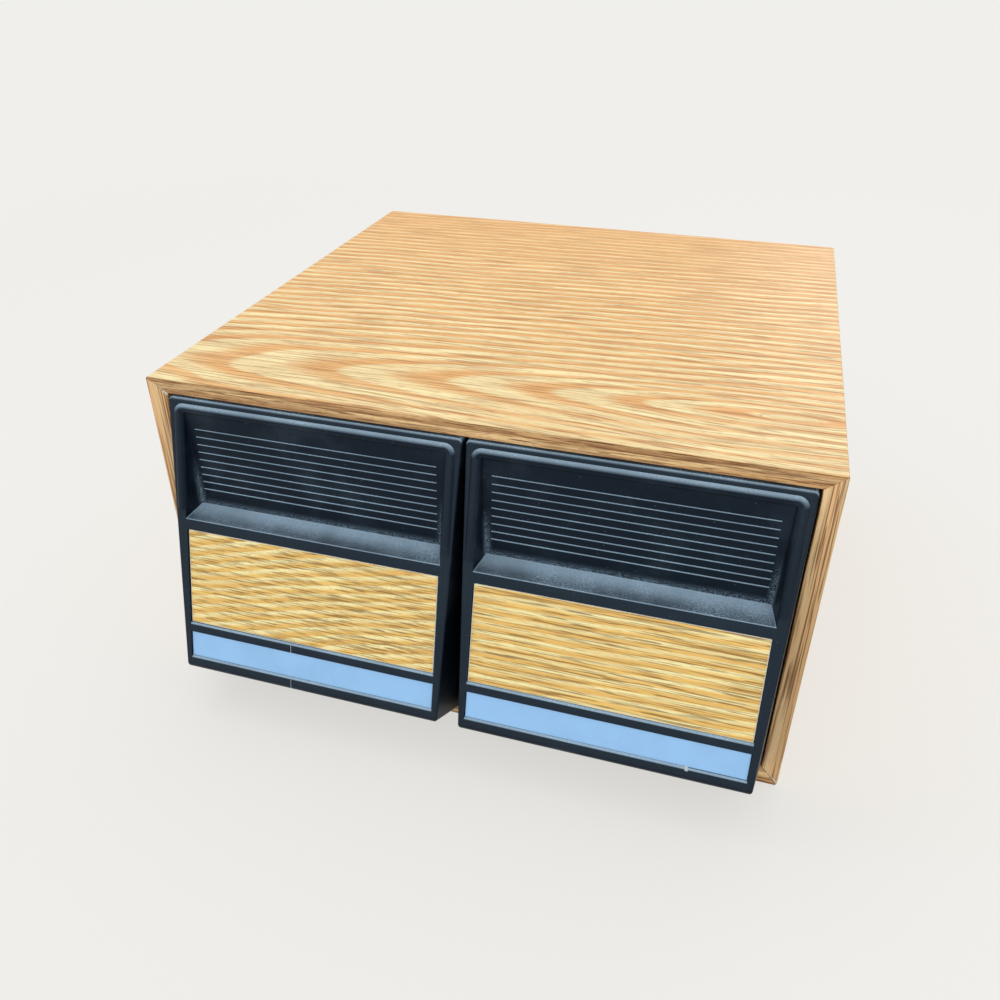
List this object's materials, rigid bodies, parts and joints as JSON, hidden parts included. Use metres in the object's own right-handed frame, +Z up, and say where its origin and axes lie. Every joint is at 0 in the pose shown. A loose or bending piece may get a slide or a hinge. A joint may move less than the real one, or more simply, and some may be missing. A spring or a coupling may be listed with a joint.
{
  "type": "cd storage drawer unit",
  "caption": "Low oak-look tabletop cabinet with side-by-side pull-out drawers for disc cases, each with a leaning moulded front, finger recess, insert panel and label strip.",
  "frame": {"origin": "middle of the footprint at the level of the underside", "axes": "+X to the right seen from the front, +Y towards the back, so the drawers open towards -Y, and +Z up"},
  "size_m": [0.3, 0.319, 0.168],
  "materials": {
    "oak_film": "satin oak-look film with dark pores",
    "hardboard": "smooth brown hardboard",
    "pine": "sawn softwood",
    "navy_plastic": "satin dark navy moulding, fine texture",
    "oak_insert": "satin oak-look panel",
    "label_blue": "smooth light blue strip",
    "steel": "zinc plated",
    "nylon": "natural nylon"
  },
  "bodies": {
    "cabinet": {"top_panel": "oak_film", "bottom_panel": "oak_film", "left_side_panel": "oak_film", "right_side_panel": "oak_film", "center_divider": "oak_film", "back_panel": "hardboard", "back_nails": "steel", "left_stop_batten": "pine", "right_stop_batten": "pine", "left_glides": "nylon", "right_glides": "nylon"},
    "left_drawer": {"left_drawer_front": "navy_plastic", "left_wood_insert": "oak_insert", "left_label_strip": "label_blue", "left_drawer_tray": "navy_plastic", "left_front_screws": "steel"},
    "right_drawer": {"right_drawer_front": "navy_plastic", "right_wood_insert": "oak_insert", "right_label_strip": "label_blue", "right_drawer_tray": "navy_plastic", "right_front_screws": "steel"}
  },
  "joints": [
    {"name": "left_drawer_slide", "type": "slide", "parent": "cabinet", "child": "left_drawer", "axis": [0, -1, 0], "range_m": [0, 0.25]},
    {"name": "right_drawer_slide", "type": "slide", "parent": "cabinet", "child": "right_drawer", "axis": [0, -1, 0], "range_m": [0, 0.25]}
  ]
}
